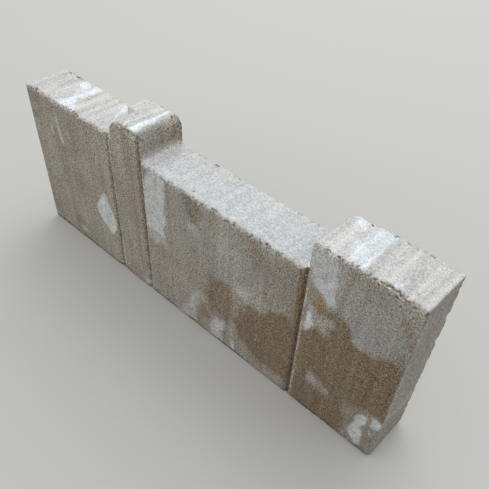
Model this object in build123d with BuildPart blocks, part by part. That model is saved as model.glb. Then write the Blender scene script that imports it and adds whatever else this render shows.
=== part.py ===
"""Garden kerb stone of dry-pressed concrete, cast as one piece and shaped like four stones in a row.

The mould gives the outline seen from the front, which runs straight through the thickness.
The press head gives the front face, with a V groove between each stone and the next.
X runs along the kerb, the front faces -Y, and Z is up from the ground. The origin is at the
middle of the footprint.
"""

import os
from dataclasses import dataclass

from build123d import *

# Driving dimensions, in millimetres.
thickness = 54.0

# Widths along the kerb, from an end or a groove's centre line to the next.
left_stone_width = 142.5
post_width = 50.0
middle_stone_width = 206.0
right_stone_width = 101.5

# Heights above the ground, each at the stone's highest point.
left_stone_height = 181.0
post_height = 200.5
middle_stone_height = 170.5
right_stone_height = 201.5

# Grooves in the front face.
groove_width = 6.0
groove_depth = 3.2
groove_lip_radius = 1.2
groove_root_radius = 0.8

# How far to the right of its groove's centre line each step of the outline stands.
left_step_offset = 6.5
post_step_offset = 3.8
right_step_offset = 1.2

# Rounded shoulders of the stones, the hollows at the foot of each step, and the feet at both ends.
left_shoulder_radius = 2.5
post_left_radius = 16.0
post_right_radius = 11.0
right_stone_left_radius = 4.0
right_shoulder_radius = 3.5
left_hollow_radius = 2.5
middle_hollow_radius = 4.0
left_foot_radius = 3.0
right_foot_radius = 7.0

# The back part of the post's left shoulder, which is not worn round: how far it reaches in from
# the back, how far to the right of the groove's centre line its side stands, and its radius.
sound_shoulder_reach = 26.0
sound_shoulder_offset = 2.5
sound_shoulder_radius = 3.0

# The rounded arris all round the front face and the back face.
arris_radius = 2.0

# Waves of the split-stone tops: places as shares of the run between the shoulders, how far the
# top dips below the stone's height at each, and the dip at both ends of the run.
left_wave_shares = (0.08, 0.35, 0.60, 0.68, 0.80)
left_wave_dips = (0.0, 1.6, 0.2, 1.0, 0.0)
left_end_dip = 1.0
right_wave_shares = (0.15, 0.45, 0.58, 0.72, 0.90)
right_wave_dips = (1.8, 0.2, 0.7, 0.0, 1.8)
right_end_dip = 1.2

# A low step keeps this share of its rise straight, between smaller turns.
least_straight_share = 0.1

# Places that follow from the dimensions.
length = left_stone_width + post_width + middle_stone_width + right_stone_width
left_end = -length / 2
right_end = length / 2
left_groove = left_end + left_stone_width
post_groove = left_groove + post_width
right_groove = post_groove + middle_stone_width
front = -thickness / 2
back = thickness / 2


@dataclass
class Stone:
    """One of the four stones in the outline, from its left side to its right side."""

    left: float
    right: float
    height: float
    left_radius: float
    right_radius: float
    end_dip: float = 0.0
    wave_shares: tuple = ()
    wave_dips: tuple = ()

    @property
    def end_height(self):
        """Height of the top where it meets the shoulders."""
        return self.height - self.end_dip


left_stone = Stone(
    left_end,
    left_groove + left_step_offset,
    left_stone_height,
    left_shoulder_radius,
    left_shoulder_radius,
    left_end_dip,
    left_wave_shares,
    left_wave_dips,
)
post = Stone(
    left_stone.right,
    post_groove + post_step_offset,
    post_height,
    post_left_radius,
    post_right_radius,
)
middle_stone = Stone(
    post.right,
    right_groove + right_step_offset,
    middle_stone_height,
    middle_hollow_radius,
    middle_hollow_radius,
)
right_stone = Stone(
    middle_stone.right,
    right_end,
    right_stone_height,
    right_stone_left_radius,
    right_shoulder_radius,
    right_end_dip,
    right_wave_shares,
    right_wave_dips,
)

# The steps of the outline: the stone before, the stone after, and the hollow between them.
steps = (
    (left_stone, post, left_hollow_radius),
    (post, middle_stone, middle_hollow_radius),
    (middle_stone, right_stone, middle_hollow_radius),
)

up = (0, 1)
down = (0, -1)
along = (1, 0)
along_back = (-1, 0)


def step_radii(before, after, hollow_radius):
    """Radii of a step's shoulder and hollow. Both are smaller where the step is too low for them."""
    rise = after.end_height - before.end_height
    shoulder_radius = after.left_radius if rise > 0 else before.right_radius
    room = abs(rise) * (1 - least_straight_share)
    share = min(1, room / (shoulder_radius + hollow_radius))
    return shoulder_radius * share, hollow_radius * share


def draw_top(stone, start, end):
    """The top of a stone between its shoulders: a gentle wave, or a straight line."""
    first = (start, stone.end_height)
    last = (end, stone.end_height)
    if stone.wave_shares:
        places = [start + share * (end - start) for share in stone.wave_shares]
        heights = [stone.height - dip for dip in stone.wave_dips]
        Spline(first, *zip(places, heights), last, tangents=(along, along))
    else:
        Line(first, last)


def draw_top_and_step(start, before, after, hollow_radius):
    """A top from start and the step to the next stone. Returns the x where the next top starts."""
    shoulder_radius, hollow_radius = step_radii(before, after, hollow_radius)
    if after.end_height > before.end_height:
        heading, turn = up, 90
        first_radius, last_radius = hollow_radius, shoulder_radius
        side_end = (before.right, after.end_height - last_radius)
    else:
        heading, turn = down, -90
        first_radius, last_radius = shoulder_radius, hollow_radius
        side_end = (before.right, after.end_height + last_radius)
    top_end = before.right - first_radius
    draw_top(before, start, top_end)
    first_turn = JernArc((top_end, before.end_height), along, first_radius, turn)
    side = Line(first_turn @ 1, side_end)
    JernArc(side @ 1, heading, last_radius, -turn)
    return before.right + last_radius


with BuildPart() as kerb_stone:
    # The outline, over the four tops from the left foot to the right foot and back along the base.
    with BuildSketch(Plane.XZ.offset(-back)):
        with BuildLine():
            left_side_top = left_stone.end_height - left_shoulder_radius
            left_side = Line((left_end, left_foot_radius), (left_end, left_side_top))
            JernArc(left_side @ 1, up, left_shoulder_radius, -90)
            top_start = left_end + left_shoulder_radius
            for before, after, hollow_radius in steps:
                top_start = draw_top_and_step(top_start, before, after, hollow_radius)
            top_end = right_end - right_shoulder_radius
            draw_top(right_stone, top_start, top_end)
            right_shoulder = JernArc(
                (top_end, right_stone.end_height), along, right_shoulder_radius, -90
            )
            right_side = Line(right_shoulder @ 1, (right_end, right_foot_radius))
            right_foot = JernArc(right_side @ 1, down, right_foot_radius, -90)
            base = Line(right_foot @ 1, (left_end + left_foot_radius, 0))
            JernArc(base @ 1, along_back, left_foot_radius, -90)
        make_face()
    extrude(amount=thickness)

    # The sound back part of the post's left shoulder, from the back inwards.
    with BuildSketch(Plane.XZ.offset(-back)):
        with Locations((left_groove + sound_shoulder_offset, post.end_height)):
            Rectangle(post_width / 2, post_height / 2, align=(Align.MIN, Align.MAX))
        sound_corner = vertices().group_by(Axis.X)[0].sort_by(Axis.Y)[-1]
        fillet(sound_corner, sound_shoulder_radius)
    extrude(amount=sound_shoulder_reach)

    # The arris is no larger than the tightest outer corner that it goes round.
    step_shoulders = [step_radii(*step)[0] for step in steps]
    end_corners = (left_foot_radius, right_foot_radius, left_shoulder_radius, right_shoulder_radius)
    arris = min(arris_radius, sound_shoulder_radius, *end_corners, *step_shoulders)
    outlines = edges().group_by(Axis.Y)
    fillet(outlines[0] + outlines[-1], arris)

    # The plan section with its grooves, kept over the full height. It runs past both ends.
    with BuildSketch(Plane.XY):
        Rectangle(length + thickness, thickness)
        with Locations(*[(x, front) for x in (left_groove, post_groove, right_groove)]):
            Polygon(
                (-groove_width / 2, 0),
                (0, groove_depth),
                (groove_width / 2, 0),
                align=None,
                mode=Mode.SUBTRACT,
            )
        roots = vertices().group_by(Axis.Y)[1]
        fillet(roots, groove_root_radius)
        lips = vertices().filter_by_position(Axis.X, left_end, right_end).group_by(Axis.Y)[0]
        fillet(lips, groove_lip_radius)
    extrude(amount=length, both=True, mode=Mode.INTERSECT)

kerb_stone.part.label = "kerb_stone"
os.makedirs("parts", exist_ok=True)
export_step(kerb_stone.part, "parts/kerb_stone.step")
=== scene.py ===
"""Weathered concrete kerb stone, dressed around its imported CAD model, on a plain pale floor."""

import math
import random
from functools import partial

import bpy
import numpy as np
from bpy.props import FloatProperty, FloatVectorProperty, IntProperty, PointerProperty
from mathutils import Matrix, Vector, noise
from mathutils.bvhtree import BVHTree
from mathutils.kdtree import KDTree


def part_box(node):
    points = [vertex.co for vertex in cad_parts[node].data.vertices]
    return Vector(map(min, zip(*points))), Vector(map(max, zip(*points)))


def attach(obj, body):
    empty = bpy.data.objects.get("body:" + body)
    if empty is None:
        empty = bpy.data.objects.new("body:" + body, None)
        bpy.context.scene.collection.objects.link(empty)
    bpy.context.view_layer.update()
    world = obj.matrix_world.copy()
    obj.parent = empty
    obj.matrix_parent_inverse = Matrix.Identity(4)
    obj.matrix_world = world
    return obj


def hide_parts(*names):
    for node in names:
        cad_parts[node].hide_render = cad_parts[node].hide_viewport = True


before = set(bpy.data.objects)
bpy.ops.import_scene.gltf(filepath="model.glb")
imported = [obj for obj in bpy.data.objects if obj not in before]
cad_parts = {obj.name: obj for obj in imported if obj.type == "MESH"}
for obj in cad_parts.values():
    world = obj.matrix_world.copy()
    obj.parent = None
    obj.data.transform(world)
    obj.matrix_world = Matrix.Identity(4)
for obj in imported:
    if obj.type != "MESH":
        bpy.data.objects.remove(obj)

bl_info = {
    "name": "Concrete kerb stone",
    "version": (1, 0, 0),
    "blender": (4, 5, 0),
    "location": "3D View > Sidebar > Kerb Stone",
    "description": "Dresses the packed kerb stone as weathered pressed concrete and sets its stage",
    "category": "Mesh",
}

STONE_NODE = "kerb_stone"
PIECE_NAME = "weathered_kerb_stone"
MM = 0.001
SEED = 11

# The CAD box. Sizes and places are in millimetres, unless a comment says otherwise.
LOWEST, HIGHEST = (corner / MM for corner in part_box(STONE_NODE))
LEFT, FRONT, _ = LOWEST
RIGHT, BACK, _ = HIGHEST

# Widths of the stones in the face, from an end or a groove's centre line to the next.
LEFT_STONE_WIDTH = 142.5
POST_WIDTH = 50.0
MIDDLE_STONE_WIDTH = 206.0
LEFT_GROOVE = LEFT + LEFT_STONE_WIDTH
POST_GROOVE = LEFT_GROOVE + POST_WIDTH
GROOVES = (LEFT_GROOVE, POST_GROOVE, POST_GROOVE + MIDDLE_STONE_WIDTH)
GROOVE_HALF_WIDTH = 3.0
# How far to the right of its groove each step of the outline stands.
STEP_OFFSETS = (6.5, 3.8, 1.2)
STEPS = tuple(groove + offset for groove, offset in zip(GROOVES, STEP_OFFSETS))

# No top lies lower than the first of these heights, and the middle stone's lies at the second.
LOWEST_TOP = 165.0
MIDDLE_TOP = 170.5
# The post's left shoulder is sound behind this place, and worn to this radius in front of it.
BREAK_PLACE = BACK - 26.0
POST_SHOULDER = 16.0

# What lies this near the front or the back belongs to its face, grooves or arris, and so on for
# the right end and for the post's right side.
FACE_REACH = 4.0
END_REACH = 8.0
POST_SIDE_REACH = 14.0

# How far the crumbling reaches from an arris, and the size of its patches.
ARRIS_REACH = 5.0
PATCH_SIZE = 24.0
# How worn an arris is: along the front and the back of each stone's top, at an end, and elsewhere.
FRONT_WEAR = (0.9, 0.8, 0.6, 0.9)
BACK_WEAR = (0.6, 0.7, 0.7, 0.7)
END_WEAR = 0.16
OTHER_WEAR = 0.3
# How strongly the mould has dragged along each stone's top.
DRAG_SHARES = (1.0, 0.6, 0.25, 0.8)

# Crumbs widen the hollow at the post's right foot to this radius, and lie this deep at most.
FOOT_RADIUS = 7.0
FOOT_FILL = 1.3
# How far the torn edge of the right end stands out from its rounded arris.
EDGE_REACH = 0.8
# Depth of the unevenness of the whole skin.
UNEVENNESS = 0.3
# Radius of the smallest pit, how much larger the largest is, and how far below an arris its holes
# lie at most.
SMALLEST_PIT = 1.0
PIT_SPREAD = 0.9
HOLE_DROP = 2.2

# The photograph's camera, as it was fitted, with its place in metres and its turn in degrees.
CAMERA_PLACE = (0.324561, -0.303599, 0.472035)
CAMERA_TURN = (43.519, -2.522, 43.367)
CAMERA_LENS = 41.396
CAMERA_SENSOR = 36.0
CAMERA_SHIFT_Y = 0.1142

# The lamp's place and width in metres, and the sky's linear colour.
LAMP_PLACE = (-0.6, 1.5, 2.0)
LAMP_WIDTH = 2.0
SKY_COLOUR = (0.94, 0.97, 1.0)


def linear(hex_colour):
    """Linear red, green and blue from an sRGB hex colour."""
    shares = [int(hex_colour[i : i + 2], 16) / 255 for i in (1, 3, 5)]
    return tuple(s / 12.92 if s <= 0.04045 else ((s + 0.055) / 1.055) ** 2.4 for s in shares)


def a_length(name, description, default, most, least=0.0):
    """A setting for a length, given in millimetres and kept in metres."""
    return FloatProperty(
        name=name,
        description=description,
        default=default * MM,
        min=least * MM,
        max=most * MM,
        precision=5,
        unit="LENGTH",
        subtype="DISTANCE",
    )


def a_colour(name, description, hex_colour):
    """A setting for a colour."""
    return FloatVectorProperty(
        name=name,
        description=description,
        default=linear(hex_colour),
        min=0,
        max=1,
        subtype="COLOR",
    )


class KerbStoneSettings(bpy.types.PropertyGroup):
    """Sizes and colours of the weathered stone."""

    mesh_step: a_length("Mesh step", "Edge length of the mesh that carries the relief", 1.35, 4.0, 1.3)
    plain_share: FloatProperty(
        name="Back detail",
        description="Share of the mesh that is kept on the plain back and the base",
        default=0.25,
        min=0.1,
        max=1,
        subtype="FACTOR",
    )
    chip_depth: a_length("Chip depth", "How deep the arrises have crumbled at most", 2.6, 6.0)
    crumb_depth: a_length("Crumb depth", "Depth of the single grains lost along the arrises", 1.1, 3.0)
    jag_depth: a_length("Jag depth", "Depth of the jags down the back edge of the right end", 2.6, 4.0)
    drag_depth: a_length("Drag mark depth", "Depth of the mould's drag marks across the tops", 1.1, 3.0)
    crease_depth: a_length("Crease depth", "Depth of the creases between the folds of the tops", 1.0, 3.0)
    pit_depth: a_length("Pit depth", "Depth of the deepest pits", 1.8, 4.0)
    pit_count: IntProperty(
        name="Pits",
        description="Number of pits over the whole surface",
        default=260,
        min=0,
        max=2000,
    )
    arris_pit_count: IntProperty(
        name="Arris pits",
        description="Number of holes of lost grains along the front arris of the tops",
        default=170,
        min=0,
        max=2000,
    )
    concrete_colour: a_colour("Concrete", "Dry cement and sand of the face", "#A29B90")
    warm_colour: a_colour("Warm concrete", "Sandier parts of the face", "#998F82")
    cool_colour: a_colour(
        "Bare cement", "Smooth grey cement of the right end and of parts of the face", "#999690"
    )
    # Also painted as shade beside the grooves, over the post's right side and over the upper right end.
    damp_colour: a_colour("Damp", "Brown damp parts of the face", "#7B6B56")
    # Also painted as light in the hollow at the post's right foot and as a highlight down the right end's
    # rounded arris.
    bleached_colour: a_colour("Bleached top", "Tops that rain and sun have washed pale", "#D8D6D2")
    rinsed_colour: a_colour("Rinsed top", "The middle stone's top, washed a little bluer", "#D2D4D4")
    # Also painted as a highlight along the post's right shoulder.
    lime_colour: a_colour("Lime bloom", "White efflorescence", "#EEF4F7")
    # Also painted as a highlight on the lip right of each groove.
    sand_colour: a_colour("Bare sand", "Pale sand laid bare where an arris has crumbled", "#DCD2C3")
    rust_colour: a_colour("Rust", "Iron stains on the face and along the back of the tops", "#A07A3E")
    # Also painted as shade deep in the grooves, along the base and along the deepest creases.
    dirt_colour: a_colour("Dirt", "Dirt in the grooves, pores and pits", "#453A2D")


class KerbStageSettings(bpy.types.PropertyGroup):
    """The floor and the light."""

    floor_colour: a_colour("Floor", "Plain pale floor", "#CECCC6")
    floor_width: a_length("Floor width", "Side of the square floor", 12000.0, 50000.0, 1000.0)
    sky_strength: FloatProperty(
        name="Sky",
        description="Even light from all sides, where 1 shows a colour as it is written",
        default=0.82,
        min=0,
        max=2,
    )
    lamp_power: FloatProperty(
        name="Lamp",
        description="Power of the wide soft lamp",
        default=18.0,
        min=0,
        max=500,
        unit="POWER",
    )


def select_only(piece):
    """Deselects everything else, so that the next operators act on this piece alone."""
    bpy.ops.object.select_all(action="DESELECT")
    piece.select_set(True)
    bpy.context.view_layer.objects.active = piece


def apply_modifier(piece, kind, **settings):
    """Adds a modifier to the active piece, sets it and applies it."""
    bpy.ops.object.modifier_add(type=kind)
    modifier = piece.modifiers[-1]
    for name, value in settings.items():
        setattr(modifier, name, value)
    bpy.ops.object.modifier_apply(modifier=modifier.name)


def merged_copy(node, name):
    """A piece with a copy of a CAD node's mesh, its loose triangles merged into one skin."""
    piece = bpy.data.objects.new(name, node.data.copy())
    bpy.context.scene.collection.objects.link(piece)
    select_only(piece)
    bpy.ops.object.mode_set(mode="EDIT")
    bpy.ops.mesh.select_all(action="SELECT")
    bpy.ops.mesh.remove_doubles(threshold=0.01 * MM)
    bpy.ops.object.mode_set(mode="OBJECT")
    return piece


def thin_out(piece, share):
    """Keeps only a share of the mesh on the back and the base, which are plain."""
    normals = read_vertices(piece, "normal")
    places = read_vertices(piece, "co")
    on_back = (normals[:, 1] > 0.9) & (places[:, 1] > BACK - 3)
    on_base = places[:, 2] < 1.5
    piece.data.vertices.foreach_set("select", on_back | on_base)
    bpy.ops.object.mode_set(mode="EDIT")
    bpy.ops.mesh.select_mode(type="VERT")
    bpy.ops.mesh.decimate(ratio=share)
    bpy.ops.object.mode_set(mode="OBJECT")


def read_vertices(piece, what):
    """Each vertex's place in millimetres ("co"), or its normal ("normal")."""
    values = np.empty(len(piece.data.vertices) * 3, np.float32)
    piece.data.vertices.foreach_get(what, values)
    values = values.reshape(-1, 3).astype(float)
    return values / MM if what == "co" else values


def rise(values, start, end):
    """0 up to start, 1 from end on, and a smooth rise between."""
    share = np.clip((values - start) / (end - start), 0, 1)
    return share * share * (3 - 2 * share)


def rise_and_fall(values, start, full, fading, end):
    """0 up to start, 1 from full to fading, and 0 again from end on."""
    return rise(values, start, full) * (1 - rise(values, fading, end))


def weigh(piece, name, weights):
    """Makes a vertex group from an array of weights, in 64 steps."""
    steps_in_all = 64
    group = piece.vertex_groups.new(name=name)
    steps = np.rint(np.clip(weights, 0, 1) * steps_in_all).astype(int)
    for step in range(1, steps_in_all + 1):
        group.add(np.flatnonzero(steps == step).tolist(), step / steps_in_all, "REPLACE")


def stone_shares(places, shares):
    """One of four values for each vertex, by the stone of the face that it is in."""
    return np.asarray(shares)[np.digitize(places[:, 0], STEPS)]


def point_tree(points):
    """A tree that finds the nearest of the points."""
    tree = KDTree(len(points))
    for index, point in enumerate(points):
        tree.insert(point, index)
    tree.balance()
    return tree


def find_arris(places, normals):
    """The vertices on the rounded arris all round the front and the back, grooves left out."""
    turning = (np.abs(normals[:, 1]) > 0.3) & (np.abs(normals[:, 1]) < 0.95)
    off_grooves = np.min([np.abs(places[:, 0] - x) for x in GROOVES], axis=0)
    in_groove = (off_grooves < GROOVE_HALF_WIDTH + 0.8) & (normals[:, 2] < 0.3)
    in_groove &= places[:, 1] < 0
    return np.flatnonzero(turning & ~in_groove)


def arris_wear(places, normals, arris):
    """How much of the crumbling each vertex takes: full on an arris, and none at its reach."""
    place, normal = places[arris], normals[arris]
    off_end = RIGHT - np.abs(place[:, 0])
    at_front = place[:, 1] < 0
    on_top = normal[:, 2] > 0.25
    on_end = (np.abs(normal[:, 0]) > 0.3) & (off_end < 12)
    tops = np.where(at_front, stone_shares(place, FRONT_WEAR), stone_shares(place, BACK_WEAR))
    wear = np.where(on_top, tops, np.where(on_end, END_WEAR, OTHER_WEAR))
    patches = np.array([noise.noise(Vector(point) / PATCH_SIZE) for point in place])
    wear *= 0.55 + 0.45 * rise(patches, -0.2, 0.3)
    # The jagged edge has a wear of its own, and the ends have little.
    wear *= 1 - ((place[:, 0] > RIGHT - 6) & ~at_front & ~on_top)
    wear *= 0.3 + 0.7 * rise(off_end, 1, 10)
    tree = point_tree(place)
    weights = np.zeros(len(places))
    near = np.minimum(places[:, 1] - FRONT, BACK - places[:, 1]) < ARRIS_REACH
    for vertex in np.flatnonzero(near):
        _, index, distance = tree.find(places[vertex])
        weights[vertex] = wear[index] * max(0.0, 1 - distance / ARRIS_REACH)
    return weights


def jag_weights(places):
    """The back edge of the right end, where the mould has torn the concrete."""
    off_edge = np.hypot(RIGHT - places[:, 0], BACK - places[:, 1])
    return (1 - rise(off_edge, 1.0, 7.0)) * rise_and_fall(places[:, 2], 4, 20, 180, 200)


def sharp_weights(places, normals):
    """How far the jagged edge stands out from its rounded arris, up to the corner of the box, as
    a share of its reach."""
    to_box = ((RIGHT, BACK) - places[:, :2]) / np.maximum(normals[:, :2], 0.05)
    room = np.min(to_box, axis=1) - 0.1
    outward = np.all(normals[:, :2] > 0.2, axis=1)
    return np.clip(room / EDGE_REACH, 0, 1) * outward * rise_and_fall(places[:, 2], 4, 20, 185, 198)


def fill_weights(places, normals):
    """How deep crumbs fill the hollow at the post's right foot, as a share of the deepest. The
    arrises at both ends of the hollow are left out."""
    off_middle = np.abs(places[:, (0, 2)] - (STEPS[1], MIDDLE_TOP) - FOOT_RADIUS / 2)
    in_hollow = np.max(off_middle, axis=1) < FOOT_RADIUS / 2 + 1
    corner = (STEPS[1] + FOOT_RADIUS, MIDDLE_TOP + FOOT_RADIUS)
    depth = np.hypot(*(places[:, (0, 2)] - corner).T) - FOOT_RADIUS
    return np.clip(depth / FOOT_FILL, 0, 1) * in_hollow * (1 - rise(np.abs(normals[:, 1]), 0.05, 0.3))


def scatter_pits(places, normals, arris, settings):
    """The middles and radii of pits anywhere, and of holes where grains have fallen out under the
    front arris of the tops."""
    dice = random.Random(SEED)
    middles = [places[dice.randrange(len(places))] for _ in range(settings.pit_count)]
    place, normal = places[arris], normals[arris]
    under_tops = place[(place[:, 1] < 0) & (normal[:, 2] > 0.1) & (place[:, 2] > LOWEST_TOP)]
    lost_grains = [dice.choice(under_tops) for _ in range(settings.arris_pit_count)]
    middles += [grain - (0, 0, HOLE_DROP * dice.random()) for grain in lost_grains]
    radii = [SMALLEST_PIT + PIT_SPREAD * dice.random() ** 2 for _ in middles]
    return middles, radii


def pit_weights(places, middles, radii):
    """Round pits of random depth at the given places."""
    dice = random.Random(SEED)
    tree = point_tree(places)
    weights = np.zeros(len(places))
    for middle, radius in zip(middles, radii):
        depth = 0.4 + 0.6 * dice.random()
        for _, index, distance in tree.find_range(middle, radius):
            weights[index] = max(weights[index], depth * (1 - (distance / radius) ** 2))
    return weights


# Creases across the tops: place along the kerb at the front and at the back, the run in Y that
# it takes, its half width, and its depth as a share of the deepest.
CREASES = (
    (-225, -222, -10, 27, 2.4, 0.9),
    (-236, -238, -27, 20, 2, 0.4),
    (-204, -212, -10, 27, 1.8, 0.4),
    (-174, -177, -4, 22, 2.4, 0.7),
    (-160, -163, -4, 27, 2, 0.4),
    (-92, -93, -27, 27, 1.6, 0.4),
    (-80, -80, -20, 27, 1.6, 0.4),
    (-73, -73, -20, 27, 1.4, 0.5),
    (194, 193, -22, 27, 1.8, 0.9),
    (228, 226.5, -24, 8, 1.8, 0.6),
    (171, 169, 0, 27, 2, 0.4),
)


def crease_weights(places, upward):
    """Valleys along the creases, which fade out over 10 mm at both ends."""
    x, y = places[:, 0], places[:, 1]
    weights = np.zeros(len(places))
    for x_front, x_back, y_start, y_end, half_width, share in CREASES:
        middle = x_front + (x_back - x_front) * (y - FRONT) / (BACK - FRONT)
        valley = np.exp(-(((x - middle) / half_width) ** 2))
        run = rise_and_fall(y, y_start - 5, y_start + 5, y_end - 5, y_end + 5)
        weights = np.maximum(weights, share * valley * run)
    return weights * upward


def mark_wear(piece, settings):
    """Makes the vertex groups that the wear acts on."""
    places = read_vertices(piece, "co")
    normals = read_vertices(piece, "normal")
    upward = rise(normals[:, 2], 0.55, 0.95) * (places[:, 2] > LOWEST_TOP)
    arris = find_arris(places, normals)
    groups = {
        "worn arris": arris_wear(places, normals, arris),
        "jagged edge": jag_weights(places),
        "sharp edge": sharp_weights(places, normals),
        "filled hollow": fill_weights(places, normals),
        "tops": upward * stone_shares(places, DRAG_SHARES),
        "creases": crease_weights(places, upward),
        "skin": rise(places[:, 2], 0.0, 6.0),
        "pits": pit_weights(places, *scatter_pits(places, normals, arris, settings)),
    }
    for name, weights in groups.items():
        weigh(piece, name, weights)


def cloud_texture(name, size, depth, contrast=1.0, intensity=1.0):
    """A cloud texture for a Displace modifier. Its size is in millimetres."""
    texture = bpy.data.textures.new(name, "CLOUDS")
    texture.noise_scale = size * MM
    texture.noise_depth = depth
    texture.contrast = contrast
    texture.intensity = intensity
    texture.use_clamp = True
    return texture


def hollow_out(piece, group, depth, texture=None, axis="NORMAL", guide=None):
    """Pushes a group of vertices inwards by up to depth, or outwards where depth is below 0."""
    apply_modifier(
        piece,
        "DISPLACE",
        vertex_group=group,
        strength=depth if texture else -depth,
        mid_level=1.0 if texture else 0.0,
        direction=axis,
        texture=texture,
        texture_coords="OBJECT" if guide else "LOCAL",
        texture_coords_object=guide,
    )


def wear_down(piece, settings):
    """Gives the piece its relief, from the marks on the tops to the pits."""
    # The drag marks run across the tops, so their noise is stretched thirty times along Y.
    bpy.ops.object.empty_add(location=(0, 0, 0), rotation=(0, 0, math.radians(1.5)))
    guide = bpy.context.object
    guide.scale = (1, 30, 1)
    select_only(piece)
    drag_marks = cloud_texture("drag marks", 4.5, 2, contrast=1.6)
    hollow_out(piece, "tops", settings.drag_depth, drag_marks, "Z", guide)
    hollow_out(piece, "creases", settings.crease_depth, None, "Z")
    hollow_out(piece, "skin", UNEVENNESS * MM, cloud_texture("unevenness", 20, 2))
    chips = cloud_texture("chips", 4.5, 2, contrast=3.0, intensity=1.35)
    hollow_out(piece, "worn arris", settings.chip_depth, chips)
    crumbs = cloud_texture("crumbs", 1.8, 1, contrast=2.5, intensity=1.2)
    hollow_out(piece, "worn arris", settings.crumb_depth, crumbs)
    hollow_out(piece, "filled hollow", -FOOT_FILL * MM)
    hollow_out(piece, "sharp edge", -EDGE_REACH * MM)
    jags = cloud_texture("jags", 6, 1, contrast=5.5, intensity=1.25)
    hollow_out(piece, "jagged edge", settings.jag_depth, jags)
    hollow_out(piece, "pits", settings.pit_depth)
    bpy.data.objects.remove(guide)


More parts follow.
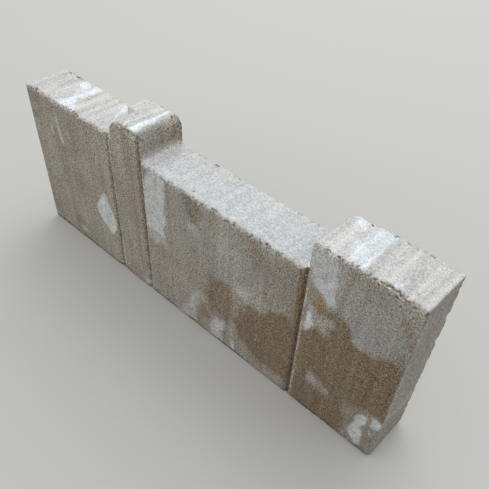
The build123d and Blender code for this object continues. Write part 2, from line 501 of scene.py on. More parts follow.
# Stains on the face. Each has a strength, the softness of its edge, a reach and its corners: one
# corner makes a disc of that reach, two a streak, and more a polygon grown by it. Corners are
# places along the kerb and above the ground.
FACE_STAINS = {
    "lime": (
        # Left stone: the kite, and the flecks and the streak above it.
        (0.48, 1.4, 0, ((-126, 102), (-121, 96), (-117, 80), (-112, 67), (-112, 56), (-120, 46),
                        (-127, 43), (-138, 57), (-145, 67), (-145, 72), (-135, 86))),
        (0.36, 3, 2, ((-210.5, 145), (-209.5, 138))),
        (0.28, 3, 1.6, ((-198, 158), (-195, 146))),
        (0.4, 2.6, 2, ((-195, 146), (-193, 132))),
        (0.12, 5, 5, ((-205, 152),)),
        (0.2, 2, 1.4, ((-182, 148), (-177, 141))),
        (0.18, 3, 2.5, ((-180, 114),)),
        (0.25, 2, 1.6, ((-202, 82),)),
        (0.26, 3, 4, ((-188, 13), (-182, 15))),
        (0.18, 3, 3, ((-66, 7), (-60, 9))),
        # Middle stone: the strip beside the post, and the low drifts.
        (0.43, 1.6, 0, ((-45, 166), (-23, 167), (-24, 130), (-25, 95), (-54, 97), (-54, 148))),
        (0.28, 2.5, 0, ((-43, 173), (-24, 173), (-24, 160), (-51, 155))),
        (0.2, 4, 0, ((-56, 98), (-26, 98), (-28, 85), (-54, 85))),
        (0.16, 4, 0, ((6, 140), (23, 138), (22, 129), (8, 129))),
        (0.08, 8, 0, ((37, 147), (68, 145), (66, 120), (40, 120))),
        (0.17, 3.5, 0, ((76, 96), (80, 101), (92, 103), (94, 92), (86, 88), (78, 90))),
        (0.22, 3.5, 0, ((22, 50), (32, 46), (20, 28), (16, 4), (-12, 2), (-6, 14), (4, 28), (10, 42))),
        (0.4, 3.5, 2.5, ((14, 37), (11, 22))),
        (0.3, 3.5, 0, ((46, 38), (58, 38), (61, 20), (58, 2), (42, 2), (42, 18))),
        (0.45, 3.5, 2.5, ((53, 30), (52, 15))),
        (0.42, 2, 1.8, ((74, 16), (74, 6))),
        (0.05, 5, 2, ((64, 20), (84, 14), (146, 14), (146, 5), (62, 5))),
        # Right stone: beside its left side, the streak under the rust, and the low patches.
        (0.26, 2, 0, ((151, 198), (175, 198), (178, 184), (179, 168), (152, 168))),
        (0.38, 1.8, 0, ((154, 167), (158, 171), (178, 173), (179, 151), (173, 149), (167, 156),
                        (160, 161))),
        (0.5, 1.6, 0, ((157, 128), (161, 130), (163, 118), (167, 114), (159, 107), (156, 112))),
        (0.16, 2.5, 0, ((159, 138), (163, 137), (163, 126), (157, 126))),
        (0.12, 4, 0, ((164, 136), (180, 136), (181, 116), (166, 113))),
        (0.17, 4.5, 0, ((166, 53), (180, 58), (196, 51), (198, 43), (184, 37), (166, 44))),
        (0.12, 5, 0, ((217, 52), (236, 56), (250, 60), (250, 2), (215, 2))),
        (0.5, 1.4, 0, ((226, 48), (231, 51), (237, 50), (237, 42), (233, 37), (234, 32), (238, 28),
                       (237, 18), (236, 6), (229, 4), (226, 11), (221, 18), (223, 28), (227, 38))),
        (0.5, 1.3, 0.8, ((241, 53), (245, 57), (249, 54), (248, 45), (243, 41), (241, 45))),
        (0.4, 1.3, 1, ((241, 36), (243, 32))),
    ),
    "damp": (
        # Left stone.
        (0.75, 3, 2, ((-246, 149), (-236, 146))),
        (0.4, 4, 4, ((-226, 67),)),
        (0.3, 4, 3, ((-214, 61),)),
        (0.45, 9, 0, ((-250, 180), (-216, 180), (-220, 160), (-250, 152))),
        (0.3, 7, 0, ((-248, 36), (-228, 34), (-228, 14), (-248, 12))),
        # Middle stone: the wedge under the top, the drifts in the middle and the right part.
        (0.55, 4, 0, ((1, 172), (33, 172), (30, 158), (18, 142), (8, 152), (5, 163))),
        (0.75, 3, 2, ((13, 152), (20, 149))),
        (0.75, 6, 0, ((28, 62), (36, 90), (60, 96), (75, 93), (68, 78), (67, 62), (72, 46), (58, 40),
                      (36, 46))),
        (0.9, 5, 2, ((44, 88), (56, 84))),
        (0.95, 5, 0, ((64, 54), (74, 56), (82, 66), (92, 84), (106, 88), (114, 100), (150, 106),
                      (150, 18), (97, 20), (82, 30), (72, 42))),
        (0.5, 5, 0, ((66, 88), (86, 88), (82, 62), (66, 58))),
        (0.6, 4, 0, ((24, 42), (36, 44), (38, 22), (28, 18))),
        (0.5, 5, 0, ((142, 166), (150, 166), (150, 100), (136, 104))),
        (0.3, 14, 0, ((84, 168), (150, 170), (150, 100), (112, 106), (96, 130))),
        (0.3, 8, 0, ((62, 22), (150, 20), (150, 0), (62, 0))),
        # Right stone: all below the wavy boundary, and beside the left side.
        (1, 3, 0, ((182, 147), (188, 147), (200, 141), (203, 131), (207, 124), (220, 122),
                   (229, 127), (237, 135), (251, 136), (251, 0), (150, 0), (150, 101), (158, 107),
                   (167, 110), (182, 118))),
        (0.8, 3, 0, ((163, 144), (182, 147), (183, 116), (168, 112))),
        (0.35, 3, 0, ((151, 165), (158, 157), (159, 110), (151, 100))),
        (0.4, 8, 0, ((236, 180), (251, 186), (251, 130), (240, 130))),
    ),
    "cool": (
        (0.8, 8, 0, ((186, 190), (240, 190), (244, 140), (228, 130), (206, 128), (190, 150))),
        (0.5, 12, 0, ((-20, 168), (0, 168), (14, 140), (60, 150), (134, 160), (134, 110), (-20, 100))),
        (0.7, 4, 0, ((151, 200), (182, 196), (184, 150), (151, 108))),
        (0.6, 5, 0, ((216, 56), (250, 60), (250, 2), (214, 2))),
    ),
    "sand": (
        (0.6, 2, 2.5, ((26, 168),)),
        (0.12, 5, 0, ((72, 88), (88, 88), (88, 74), (78, 60), (70, 66))),
        (0.1, 4, 0, ((66, 36), (79, 36), (79, 24), (66, 24))),
        (0.14, 5, 0, ((164, 136), (180, 136), (181, 116), (166, 113))),
        (0.45, 2.5, 2.5, ((-86, 198), (-58, 196))),
        # Grains between the holes along the front of the post's top.
        *((1, 0.8, 1.3, (place,)) for place in (
            (-82.5, 196.5), (-80, 200), (-76, 199), (-72.5, 196), (-69, 197.5), (-64.5, 198.5),
            (-62, 194), (-59, 197.5), (-65, 193),
        )),
    ),
    "rust": (
        (0.4, 4, 3.5, ((163, 156), (165, 143))),
        (0.7, 3.4, 3, ((163.5, 154), (165, 149), (166.5, 143))),
        (0.1, 6, 4, ((173, 84), (175, 74))),
        (0.12, 5, 3, ((215, 45), (213, 38))),
        (0.08, 6, 5, ((215, 104), (226, 98))),
        (0.3, 3, 2, ((-233, 25), (-238, 20))),
    ),
    "dirt": (
        (0.35, 1.8, 1, ((-34, 166), (-35, 150))),
        (0.3, 2, 1.8, ((191, 197), (190, 189))),
        (0.25, 2, 1.2, ((190, 190), (187, 168))),
        (0.2, 2, 1, ((187, 168), (186, 152))),
        (0.3, 2.5, 2, ((-84, 199), (-58, 198))),
        (1, 0.8, 1.2, ((249, 197),)),
        # Holes along the front of the post's top.
        *((0.95, 0.7, 0.8, (place,)) for place in (
            (-84, 199.5), (-81, 198), (-78.5, 197), (-74, 199), (-71, 198), (-66, 196.5), (-63, 198),
            (-67, 191.5),
        )),
        # Open pits.
        *((0.85, 0.9, 0.9, (place,)) for place in (
            (168, 110), (184, 123), (200, 107), (210, 105), (233, 107), (220, 90), (239, 88), (159, 85),
            (204, 80), (201, 69), (175, 63), (197, 50), (203, 48), (170, 23), (181, 15), (195, 21),
            (43, 88), (49, 81), (77, 108), (16, 142), (27, 139), (33, 125), (11, 64), (-10, 118),
            (47, 171), (42, 170), (-165, 90), (-121, 73), (-164, 180), (-137, 179),
        )),
    ),
}

# The thin dark line along the base, dirt and a painted contact shadow, wanders up and down.
BASE_LINE = (
    (-247, 3.5), (-205, 3), (-193, 0.8), (-182, 3.6), (-168, 3.6), (-160, 2), (-122, 2),
    (-106, 4.5), (-97, 4.5), (-88, 1.2), (-70, 0.8), (-57, 3.4), (-40, 2), (-20, 2.6), (-6, 0.4),
    (14, 2.6), (40, 1.2), (60, 2.4), (84, 2.6), (100, 1), (140, 1.4), (180, 2.6), (215, 1.2),
    (246, 1.6),
)

# Stains on the tops, by places along the kerb and from front to back.
TOP_STAINS = {
    "lime": (
        # Left stone: the back lobe, the middle, the front lobe, and the patch beside the post.
        (1, 2, 0.5, ((-211, 28), (-182, 28), (-181, 12), (-194, 11), (-206, 13))),
        (0.75, 2.5, 0, ((-199, 14), (-183, 14), (-182, -10), (-195, -10))),
        (1, 2.4, 0.5, ((-195, -22), (-171, -24), (-172, -13), (-184, -7), (-194, -9))),
        (1, 1.6, 1, ((-137, 22), (-132, 21), (-126, 9), (-131, 9))),
        (0.8, 1.4, 1.1, ((-130, 10), (-120, -8))),
        (0.25, 2, 1.5, ((-144, -14), (-140, -22))),
        # Post: a painted highlight along the ridge over its right shoulder, wider at the front, a fainter
        # painted highlight beside it, and a fleck of lime.
        (0.9, 1.6, 1.7, ((-69, 24), (-67, 0))),
        (1, 1.6, 2.4, ((-69.5, 0), (-65.5, 0), (-63.5, -22), (-70.5, -23))),
        (0.25, 2.5, 2, ((-76, 20), (-74, 6))),
        (0.6, 1.5, 1.5, ((-82, -16), (-80, -22))),
        # Right stone: the band with its sharp right edge, a patch and a small triangle.
        (0.85, 1.6, 0, ((180, -25), (193, -25), (192, 28), (180, 28), (179, 8), (177, -6))),
        (0.45, 3, 0, ((176, -12), (184, -12), (186, 28), (167, 28), (171, 12))),
        (0.65, 3, 0.5, ((155, 27), (166, 27), (166, 13), (158, 12))),
        (0.07, 5, 0, ((152, 27), (178, 27), (178, -25), (152, -25))),
        (0.9, 1.2, 0, ((220, -24), (227.5, -24), (224, -9))),
    ),
    "rust": (
        (0.3, 2, 2, ((-150, 26), (-147, 24))),
        (0.25, 2, 3.5, ((-2, 24),)),
        (0.25, 2, 3, ((23, 25),)),
        (0.25, 2, 2.5, ((98, 25),)),
        (0.25, 2, 2.5, ((120, 25),)),
        (0.2, 3, 2.5, ((-80, 25),)),
    ),
    "sand": (
        (0.5, 2.5, 2.5, ((-231, 24),)),
        (0.35, 3, 1.5, ((212, 20), (220, 20))),
        (0.4, 3, 2, ((234, 22), (239, 22))),
        (0.3, 7, 0, ((-50, 27), (40, 27), (24, 14), (-44, 12))),
        (0.3, 4, 2, ((-50, 25), (146, 25))),
        (0.3, 3, 2, ((-90, 26), (-64, 26))),
    ),
    "dirt": (
        *((0.8, 0.8, 1.1, (place,)) for place in (
            (-223, 13), (-222, 8), (-234, 26), (-175, 3), (-176, 27), (-118, 22),
            (23, 26.5), (78, 26.5), (97, 26.5), (101, 26), (120, 26.5), (-20, 26), (60, 26),
            (191, 26), (203, 25), (215, 26), (237, 26), (46, -25), (-38, -25), (-16, -26), (98, -26),
            (-60, 20), (-86, -2), (12, -20),
        )),
        (0.9, 1, 1.6, ((-5, 26.5), (-3, 26.5))),
        (0.9, 0.9, 1, ((41.5, -26), (44.5, -26))),
        (1, 0.8, 1.5, ((226, -25),)),
        # Painted shade, soft grey, along the deepest creases, and a dark spot on the post's top.
        (0.16, 3, 1.5, ((194.5, -20), (194, 24))),
        (0.14, 3, 1.5, ((228, -18), (226.5, 8))),
        (0.28, 3, 2, ((-220, -4), (-218, 26))),
        (0.18, 3, 2, ((-174.5, 0), (-176, 18))),
        (0.14, 4, 2, ((-236, -24), (-233, 24))),
        (0.35, 2, 2, ((-81, 25.5), (-78, 25.5))),
        (0.16, 3, 1, ((-240, 25), (-238, 8))),
    ),
}

# Stains, and painted shade, on the right end and the post's right side, by places from front to back and
# upwards.
RIGHT_END_STAINS = {
    "dirt": (
        (0.55, 1, 0.6, ((-25, 53), (27, 41))),
        (0.3, 2, 2, ((-26, 200), (-26, 186))),
        # Along the base of the end: dirt and a painted contact shadow.
        (0.35, 2, 1.5, ((-27, 5), (27, 4))),
    ),
    "damp": (
        # The first row is painted shade over the upper end, the second brown damp along its foot.
        (0.22, 10, 0, ((-27, 205), (27, 205), (27, 60), (-27, 60))),
        (0.42, 5, 0, ((-27, 50), (27, 40), (27, 0), (-27, 0))),
    ),
}
POST_SIDE_STAINS = {
    "dirt": (
        *((0.9, 0.9, 0.9, (place,)) for place in (
            (24, 194), (21, 191), (25, 188), (23, 184), (25, 180), (22, 178), (25, 175), (23, 172),
            (19, 186), (2, 184),
        )),
        (0.25, 3, 1, ((25, 196), (25, 171))),
    ),
    # Painted shade over the post's right side, which faces away from the light, darkest along its foot.
    "damp": (
        (0.4, 5, 2, ((-24, 176), (27, 176))),
        (0.45, 6, 0, ((12, 198), (27, 198), (27, 172), (12, 172))),
        (0.25, 6, 0, ((-27, 196), (12, 196), (12, 172), (-27, 172))),
    ),
    "cool": ((0.7, 4, 0, ((-27, 200), (10, 200), (10, 170), (-27, 170))),),
}

# The layers of the concrete's colour over its plain face, from below: the size of the specks
# that each breaks up into, and how strongly it does.
LAYERS = {
    "cool": (14.0, 0.5),
    "damp": (4.0, 0.45),
    "bleached": (2.6, 0.5),
    "rinsed": (2.6, 0.5),
    "rust": (2.6, 0.6),
    "lime": (7.0, 0.3),
    "sand": (2.0, 1.4),
    "dirt": (1.8, 0.7),
}

# The stains' outlines drift by this much in noise of this size, and specks have this size.
DRIFT_REACH = 1.3
DRIFT_SIZE = 22.0
SPECKLE_SIZE = 2.6

# The wash of the tops ends this far below their outline, give or take its raggedness.
WASH_DEPTH = 2.0
WASH_RAGGEDNESS = 2.4
# The part round the post's right foot where light is painted into the hollow: how far past the
# step its middle stands, its half width and its half height. The painted shadow on the middle
# stone's top reaches to its far side.
FOOT_LIGHT_OFFSET = 6.0
FOOT_LIGHT_WIDTH = 8.0
FOOT_LIGHT_HEIGHT = 12.0

# How strongly the face left of each groove is painted brown, as damp and painted shade, and how far from
# the groove this starts.
GROOVE_SHADES = (0.1, 0.0, 0.95)
SHADE_REACH = 9.0
# A groove's dirt and painted shade start at the first of these depths, and are full from the second on.
DIRT_AND_SHADE_DEPTHS = (0.8, 2.4)
# Where the middle of the painted highlight on a groove's lip stands, to the right of the groove's edge.
LIP_OFFSET = 0.6


def depth_inside(points, reach, corners):
    """How deep inside a stain each point lies. It is below 0 outside."""
    starts = np.array(corners, float)
    distance = np.full(len(points), np.inf)
    inside = np.zeros(len(points), bool)
    for start, end in zip(starts, np.roll(starts, -1, axis=0)):
        run = end - start
        share = np.clip((points - start) @ run / max(run @ run, 1e-9), 0, 1)
        distance = np.minimum(distance, np.hypot(*(points - start - np.outer(share, run)).T))
        if run[1]:
            meeting = start[0] + run[0] * (points[:, 1] - start[1]) / run[1]
            crosses = (start[1] > points[:, 1]) != (end[1] > points[:, 1])
            inside ^= crosses & (points[:, 0] < meeting)
    return reach + np.where(inside, distance, -distance)


def stain_weights(points, drift, stains):
    """The strongest stain at each point. The softer a polygon's edge is, the more it wanders."""
    weights = np.zeros(len(points))
    for strength, softness, reach, corners in stains:
        wander = softness + 1 if len(corners) > 2 else 1
        depth = depth_inside(points + drift * wander, reach, corners)
        weights = np.maximum(weights, strength * rise(depth, -softness, softness))
    return weights


def top_heights(places):
    """The height of the stone's outline over each vertex."""
    bin_width = 2.0
    bins = ((places[:, 0] - LEFT + 1) / bin_width).astype(int)
    heights = np.zeros(bins.max() + 1)
    np.maximum.at(heights, bins, places[:, 2])
    return heights[bins]


class Skin:
    """For each vertex of the worn piece, the nearest place on the CAD surface, how far off it is,
    two noises there, and the sides of the stone that it belongs to."""

    def __init__(self, piece, node):
        surface = BVHTree.FromObject(node, bpy.context.evaluated_depsgraph_get())
        found = [surface.find_nearest(vertex.co) for vertex in piece.data.vertices]
        places, self.normals, _, lost = map(np.array, zip(*found))
        self.places = places / MM
        self.lost = lost / MM

        points = [Vector(place) for place in self.places]
        noise.seed_set(SEED)
        drift = np.array([noise.turbulence_vector(point / DRIFT_SIZE, 4, False) for point in points])
        self.drift = DRIFT_REACH * drift
        self.speckle = np.array([noise.noise(point / SPECKLE_SIZE) for point in points])

        x, y, z = self.places.T
        self.at_front = y < FRONT + FACE_REACH
        self.by_end = x > RIGHT - END_REACH
        self.faces_right = rise(self.normals[:, 0], 0.1, 0.3)
        self.on_top = rise(self.normals[:, 2], 0.25, 0.6) * (z > LOWEST_TOP)
        in_front = self.at_front * (z < LOWEST_TOP) * (np.abs(x) < RIGHT - 3)
        self.on_face = np.clip(rise(-self.normals[:, 1], 0.2, 0.5) + in_front, 0, 1)


def paint(looks, name, weights):
    """Raises a layer to the new weights where they are stronger."""
    looks[name] = np.maximum(looks[name], weights)


def paint_stains(looks, skin):
    """The stains, painted shade and painted highlights of the tables, each on its side of the stone,
    the dark line of dirt and painted contact shadow along the base of the face, and the bare smooth
    cement of the right end."""
    x, _, z = skin.places.T
    on_end = rise(skin.normals[:, 0], 0.5, 0.9) * skin.by_end
    on_post_side = skin.faces_right * (np.abs(x - STEPS[1]) < POST_SIDE_REACH) * (z > LOWEST_TOP + 3)
    sides = (
        (FACE_STAINS, (0, 2), skin.on_face),
        (TOP_STAINS, (0, 1), skin.on_top),
        (RIGHT_END_STAINS, (1, 2), on_end),
        (POST_SIDE_STAINS, (1, 2), on_post_side),
    )
    for stains, axes, share in sides:
        for name, rows in stains.items():
            weights = stain_weights(skin.places[:, axes], skin.drift[:, axes], rows)
            paint(looks, name, share * weights)
    # The line along the base: dirt and a painted contact shadow.
    base_line = [(1.0, 0.8, 0.9, run) for run in zip(BASE_LINE, BASE_LINE[1:])]
    base_line = stain_weights(skin.places[:, (0, 2)], 0, base_line)
    paint(looks, "dirt", base_line * (skin.on_face > 0.5))
    paint(looks, "cool", rise(skin.normals[:, 0], 0.2, 0.6) * skin.by_end)


def wash_tops(looks, skin):
    """Rain and sun have washed the tops, down to a ragged line just under the arris of the face,
    along which crumbs lie bare. Sides that face right are left darker, as painted shade; the wash
    runs down the right end's rounded arris as a painted highlight; light is painted into the hollow
    at the post's right foot, and shade onto the middle stone's top beside it."""
    x, y, z = skin.places.T
    below_top = top_heights(skin.places) - z
    washed = rise(WASH_DEPTH + WASH_RAGGEDNESS * skin.speckle - below_top, -0.8, 0.8)
    # Sides that face right stay unwashed and darker: painted shade.
    washed *= 1 - skin.faces_right
    by_foot = np.abs(x - STEPS[1] - FOOT_LIGHT_OFFSET) < FOOT_LIGHT_WIDTH
    by_foot &= np.abs(z - MIDDLE_TOP) < FOOT_LIGHT_HEIGHT
    # On the right end the wash runs far down the rounded arris, a painted highlight; elsewhere it ends
    # early where the surface faces right, painted shade.
    drop = np.where(skin.by_end, 0.1, 0.66 * skin.faces_right * ~by_foot - 0.12 * skin.speckle)
    softness = np.where(skin.by_end, 0.8, 0.6)
    shoulder = rise(skin.normals[:, 2] - drop, 0.0, softness) * (z > LOWEST_TOP)
    washed = np.maximum(washed, shoulder)
    middle = stone_shares(skin.places, (0, 0, 1, 0))
    # Near the foot the middle stone's top is rinsed less: a painted shadow.
    past_foot_shadow = rise(x - STEPS[1] + 3 * skin.speckle, 0.0, FOOT_LIGHT_OFFSET + FOOT_LIGHT_WIDTH)
    # Painted light over the hollow at the foot.
    painted_foot_light = 0.45 * (1 - rise(z - MIDDLE_TOP, 2.0, FOOT_LIGHT_HEIGHT)) * by_foot
    paint(looks, "bleached", washed * (1 - middle))
    paint(looks, "bleached", painted_foot_light * np.maximum(skin.faces_right, skin.on_top))
    paint(looks, "rinsed", washed * middle * (0.5 + 0.5 * past_foot_shadow))

    crumbs = (1 - rise(below_top + 2 * skin.speckle, 2.0, 6.5)) * (y < FRONT + 3)
    paint(looks, "sand", 0.3 * crumbs)
    paint(looks, "dirt", 0.12 * crumbs)


def whiten_break(looks, skin):
    """The wall in front of the post's sound shoulder is a white break."""
    x, y, _ = skin.places.T
    wall = rise(-skin.normals[:, 1], 0.2, 0.5) * (np.abs(y - BREAK_PLACE) < 3)
    wall *= x < STEPS[0] + POST_SHOULDER
    paint(looks, "bleached", wall)
    paint(looks, "lime", 0.4 * wall)


def soil_grooves(looks, skin):
    """Dirt and painted shade in the grooves, brown damp and painted shade on the left of each, and a
    painted highlight on the lip on its right.
    """
    x, y, _ = skin.places.T
    past_groove = x - np.array(GROOVES)[:, None]
    in_groove = np.min(np.abs(past_groove), axis=0) < GROOVE_HALF_WIDTH
    in_groove &= skin.at_front & (skin.normals[:, 2] < 0.6)
    # Deep in the grooves: dirt and painted shade.
    paint(looks, "dirt", 0.45 * rise(y - FRONT, *DIRT_AND_SHADE_DEPTHS) * in_groove)
    # Left of each groove: brown damp and painted shade.
    shade = rise(past_groove, -SHADE_REACH, -GROOVE_HALF_WIDTH) * (past_groove < 1)
    shade *= np.array(GROOVE_SHADES)[:, None]
    paint(looks, "damp", np.max(shade, axis=0) * skin.at_front)
    # The pale lip right of each groove is a painted highlight, laid in the sand layer.
    off_lip = np.min(np.abs(past_groove - GROOVE_HALF_WIDTH - LIP_OFFSET), axis=0)
    patchy = 0.18 + 0.28 * rise(skin.drift[:, 2], -0.8, 0.6)
    paint(looks, "sand", (1 - rise(off_lip, 0.5, 1.6)) * (y < FRONT + 1) * patchy)


def bare_arrises(looks, skin):
    """Where an arris has crumbled, pale sand lies bare beside dark holes."""
    y = skin.places[:, 1]
    by_arris = np.minimum(y - FRONT, BACK - y) < FACE_REACH
    broken = rise(skin.lost, 0.5, 1.3) * (skin.speckle > 0.05) * by_arris
    holes = rise(skin.lost, 0.8, 1.5) * (skin.speckle < -0.03) * by_arris
    paint(looks, "sand", 0.6 * broken)
    paint(looks, "dirt", 0.85 * holes)


def store_looks(piece, node):
    """Keeps for the material, at each vertex, how strong each layer of its colour is."""
    skin = Skin(piece, node)
    looks = {name: np.zeros(len(skin.places)) for name in LAYERS}
    for step in (paint_stains, wash_tops, whiten_break, soil_grooves, bare_arrises):
        step(looks, skin)
    for name, weights in looks.items():
        attribute = piece.data.attributes.new(name, "FLOAT", "POINT")
        attribute.data.foreach_set("value", weights.astype(np.float32))


class KERB_OT_add_stone(bpy.types.Operator):
    """Adds the weathered stone in place of the plain CAD solid"""

    bl_idname = "kerb.add_stone"
    bl_label = "Add weathered stone"
    bl_options = {"REGISTER", "UNDO"}

    def execute(self, context):
        settings = context.scene.kerb_stone
        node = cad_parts[STONE_NODE]
        piece = merged_copy(node, PIECE_NAME)
        apply_modifier(piece, "REMESH", mode="VOXEL", voxel_size=settings.mesh_step)
        apply_modifier(piece, "SHRINKWRAP", target=node, wrap_method="NEAREST_SURFACEPOINT")
        thin_out(piece, settings.plain_share)
        mark_wear(piece, settings)
        wear_down(piece, settings)
        bpy.ops.object.shade_smooth()
        store_looks(piece, node)

        piece.data.materials.clear()
        piece.data.materials.append(pressed_concrete(settings))
        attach(piece, "root")
        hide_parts(STONE_NODE)
        return {"FINISHED"}


def empty_tree(owner):
    """The node tree of a new material or world, with nothing in it yet."""
    owner.use_nodes = True
    owner.node_tree.nodes.clear()
    return owner.node_tree


def add_node(tree, kind, inputs=None, **settings):
    """Adds a shader node with its settings. An input is a value, or the output or node to link."""
    node = tree.nodes.new("ShaderNode" + kind)
    for name, value in settings.items():
        setattr(node, name, value)
    for name, value in (inputs or {}).items():
        if isinstance(value, bpy.types.Node):
            value = next(output for output in value.outputs if output.enabled)
        if isinstance(value, bpy.types.NodeSocket):
            tree.links.new(value, node.inputs[name])
        else:
            node.inputs[name].default_value = value
    return node


# Sizes of the clouds and the sand grain, the spacing of the pores, and the depth of their relief.
# The real sand is finer, and is drawn this coarse to show.
CLOUD_SIZE = 40.0
GRAIN_SIZE = 1.5
PORE_SPACING = 3.6
RELIEF = 0.3
# Sizes of the streaks along X, Y and Z, across the tops and down the face.
TOP_STREAKS = (7.0, 150.0, 7.0)
FACE_STREAKS = (6.0, 6.0, 120.0)

# The range that most of a noise lies in.
NOISE_RANGE = {"From Min": 0.3, "From Max": 0.7}
# Inputs of a Mix node for colours: the share of the second colour, and both colours.
SHARE, FIRST, SECOND = 0, 6, 7


def pressed_concrete(settings):
    """Dry-pressed sandy concrete, left outdoors: a matt grey-brown face with dark pores and pale
    sand grains, bleached tops, white lime bloom, brown damp and dirt in the grooves. Painted shade
    and painted highlights lie in the same layers."""
    material = bpy.data.materials.new("dry-pressed sandy concrete")
    add = partial(add_node, empty_tree(material))
    coordinates = add("TexCoord").outputs["Object"]
    mm = add("VectorMath", {0: coordinates, "Scale": 1 / MM}, operation="SCALE")

    # Cement and sand, in wide soft clouds.
    clouds = add("TexNoise", {"Vector": mm, "Scale": 1 / CLOUD_SIZE, "Detail": 4.0})
    clouds = add("MapRange", {"Value": clouds, "From Min": 0.4, "From Max": 0.62})
    cement, sand = (*settings.concrete_colour, 1), (*settings.warm_colour, 1)
    colour = add("Mix", {SHARE: clouds, FIRST: cement, SECOND: sand}, data_type="RGBA")

    # Each layer covers as much as its stain is strong, give or take its specks. Without the stain
    # there are no specks of it.
    stains = {}
    for name, (size, contrast) in LAYERS.items():
        stain = add("Attribute", attribute_name=name).outputs["Fac"]
        stains[name] = stain
        speckled = {"Vector": mm, "Scale": 1 / size, "Detail": 3.0, "Roughness": 0.6}
        specks = {"Value": add("TexNoise", speckled), **NOISE_RANGE}
        specks = add("MapRange", {**specks, "To Min": -contrast / 2, "To Max": contrast / 2})
        some = add("MapRange", {"Value": stain, "From Max": 0.3})
        cover = add("Math", {0: specks, 1: some, 2: stain}, operation="MULTIPLY_ADD")
        cover.use_clamp = True
        layer = (*getattr(settings, name + "_colour"), 1)
        colour = add("Mix", {SHARE: cover, FIRST: colour, SECOND: layer}, data_type="RGBA")

    # Where the tops are washed and the lime lies, and less so on bare cement, the concrete itself
    # shows less.
    bleached, rinsed = stains["bleached"], stains["rinsed"]
    on_tops = add("Math", {0: rinsed, 1: 0.4, 2: bleached}, operation="MULTIPLY_ADD")
    covered = add("Math", {0: bleached, 1: rinsed})
    covered = add("Math", {0: covered, 1: stains["lime"]})
    covered = add("Math", {0: stains["cool"], 1: 0.25, 2: covered}, operation="MULTIPLY_ADD")
    bare = add("MapRange", {"Value": covered, "From Max": 0.6, "To Min": 1.0, "To Max": 0.38})

    # Faint bands and streaks where water ran across the tops, faint upright ones where the press
    # head drew fine cement along the face, and the sand grain.
    patterns = []
    for sizes, detail in ((TOP_STREAKS, 4.0), (FACE_STREAKS, 3.0)):
        drawn_out = {0: mm, 1: [1 / size for size in sizes]}
        drawn_out = add("VectorMath", drawn_out, operation="MULTIPLY")
        streaks = {"Vector": drawn_out, "Scale": 1.0, "Detail": detail}
        patterns.append(add("TexNoise", streaks))
    grain = {"Vector": mm, "Scale": 1 / GRAIN_SIZE, "Detail": 2.0, "Roughness": 0.8}
    grain = add("TexNoise", grain)
    shares = ((on_tops, 0.8, 1.17), (bare, 0.86, 1.14), (bare, 0.12, 1.88))
    for pattern, (share, darkest, palest) in zip((*patterns, grain), shares):
        shade = {"Value": pattern, **NOISE_RANGE, "To Min": darkest, "To Max": palest}
        shade = add("MapRange", shade)
        blend = {SHARE: share, FIRST: colour, SECOND: shade}
        colour = add("Mix", blend, data_type="RGBA", blend_type="MULTIPLY")

    # Scattered open pores, each a dark dot of up to 1 mm radius, and pale single grains. Both
    # stand out more where the damp and painted shade layer is strong, and the grains much more.
    cells = add("TexVoronoi", {"Vector": mm, "Scale": 1 / PORE_SPACING, "Randomness": 1.0})
    distance = cells.outputs["Distance"]
    chance = add("SeparateColor", {0: cells.outputs["Color"]})
    dots = {}
    for name, never, always, largest, dot_colour, cover, more_in_damp_and_shade in (
        ("pore", 0.6, 1.0, 0.28, settings.dirt_colour, 0.75, 0.1),
        ("grain", 0.4, 0.0, 0.24, settings.sand_colour, 0.42, 0.4),
    ):
        radius = {"Value": chance, "From Min": never, "From Max": always, "To Max": largest}
        radius = add("MapRange", radius)
        depth = add("Math", {0: radius, 1: distance}, operation="SUBTRACT")
        dots[name] = add("MapRange", {"Value": depth, "From Max": 0.1})
        cover = {0: stains["damp"], 1: more_in_damp_and_shade, 2: cover}
        cover = add("Math", cover, operation="MULTIPLY_ADD")
        dot = add("Math", {0: dots[name], 1: cover}, operation="MULTIPLY")
        dot = add("Math", {0: dot, 1: bare}, operation="MULTIPLY")
        blend = {SHARE: dot, FIRST: colour, SECOND: (*dot_colour, 1)}
        colour = add("Mix", blend, data_type="RGBA")

    # The grains stand up and the pores are open.
    height = add("Math", {0: dots["pore"], 1: -1.5, 2: grain}, operation="MULTIPLY_ADD")
    bump = add("Bump", {"Height": height, "Distance": RELIEF * MM, "Strength": 0.7})
    matt = {"Roughness": 0.92, "Specular IOR Level": 0.3}
    shader = add("BsdfPrincipled", {"Base Color": colour, "Normal": bump, **matt})
    add("OutputMaterial", {"Surface": shader})
    return material


class KERB_OT_add_stage(bpy.types.Operator):
    """Adds the plain pale floor, the soft light and the camera"""

    bl_idname = "kerb.add_stage"
    bl_label = "Add stage"
    bl_options = {"REGISTER", "UNDO"}

    def execute(self, context):
        settings = context.scene.kerb_stage
        bpy.ops.object.select_all(action="DESELECT")
        bpy.ops.mesh.primitive_plane_add(size=settings.floor_width, location=(0, 0, 0))
        floor = context.object
        floor.name = "floor"
        floor.data.materials.append(pale_floor(settings))
        light_softly(context, settings)
        set_camera(context)
        context.scene.view_settings.view_transform = "Standard"
        return {"FINISHED"}


def pale_floor(settings):
    """Plain matt floor paint: it gives the eye nothing but the stone's shadow."""
    material = bpy.data.materials.new("plain matt floor")
    add = partial(add_node, empty_tree(material))
    paint = {"Base Color": (*settings.floor_colour, 1), "Roughness": 0.95, "Specular IOR Level": 0.1}
    shader = add("BsdfPrincipled", paint)
    add("OutputMaterial", {"Surface": shader})
    return material


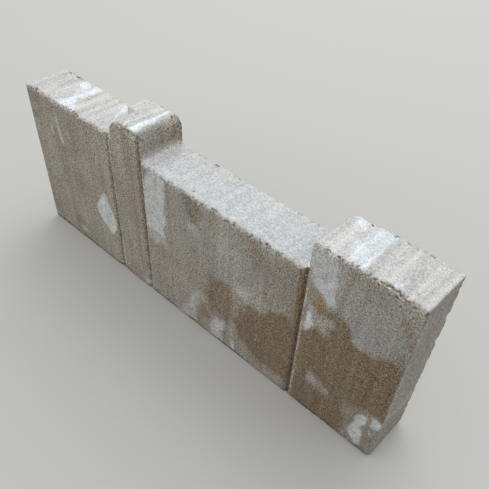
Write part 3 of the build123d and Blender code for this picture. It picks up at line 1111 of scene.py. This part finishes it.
def light_softly(context, settings):
    """An even sky, which looks like more of the floor, and one wide soft lamp above and behind
    the stone."""
    world = bpy.data.worlds.new("even sky")
    context.scene.world = world
    add = partial(add_node, empty_tree(world))
    sky = add("Background", {"Color": (*SKY_COLOUR, 1), "Strength": settings.sky_strength})
    seen = add("Background", {"Color": (*settings.floor_colour, 1), "Strength": 1.0})
    rays = add("LightPath").outputs
    shown = rays["Is Camera Ray"]
    for ray in ("Is Glossy Ray", "Is Transmission Ray"):
        shown = add("Math", {0: shown, 1: rays[ray]}, operation="MAXIMUM")
    background = add("MixShader", {0: shown, 1: sky, 2: seen})
    add("OutputWorld", {"Surface": background})

    bpy.ops.object.light_add(type="AREA", location=LAMP_PLACE)
    lamp = context.object
    lamp.name = "wide soft lamp"
    lamp.rotation_euler = (-Vector(LAMP_PLACE)).to_track_quat("-Z", "Y").to_euler()
    lamp.data.shape = "SQUARE"
    lamp.data.size = LAMP_WIDTH
    lamp.data.energy = settings.lamp_power


def set_camera(context):
    """Places the photograph's camera."""
    turn = [math.radians(angle) for angle in CAMERA_TURN]
    bpy.ops.object.camera_add(location=CAMERA_PLACE, rotation=turn)
    camera = context.object
    camera.name = "photograph camera"
    camera.data.sensor_width = CAMERA_SENSOR
    camera.data.lens = CAMERA_LENS
    camera.data.shift_y = CAMERA_SHIFT_Y
    camera.data.clip_start = 0.01
    context.scene.camera = camera


class KERB_PT_panel(bpy.types.Panel):
    """Sidebar panel with the stone's and the stage's settings"""

    bl_idname = "KERB_PT_panel"
    bl_label = "Kerb stone"
    bl_space_type = "VIEW_3D"
    bl_region_type = "UI"
    bl_category = "Kerb Stone"

    def draw(self, context):
        scene = context.scene
        parts = ((scene.kerb_stone, KERB_OT_add_stone), (scene.kerb_stage, KERB_OT_add_stage))
        for settings, operator in parts:
            box = self.layout.box()
            for name in settings.__annotations__:
                box.prop(settings, name)
            box.operator(operator.bl_idname)


CLASSES = (KerbStoneSettings, KerbStageSettings, KERB_OT_add_stone, KERB_OT_add_stage, KERB_PT_panel)


def register():
    for cls in CLASSES:
        bpy.utils.register_class(cls)
    bpy.types.Scene.kerb_stone = PointerProperty(type=KerbStoneSettings)
    bpy.types.Scene.kerb_stage = PointerProperty(type=KerbStageSettings)


def unregister():
    del bpy.types.Scene.kerb_stage
    del bpy.types.Scene.kerb_stone
    for cls in reversed(CLASSES):
        bpy.utils.unregister_class(cls)


def main():
    register()
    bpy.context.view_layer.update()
    bpy.ops.kerb.add_stone()
    bpy.ops.kerb.add_stage()


if __name__ == "__main__":
    main()
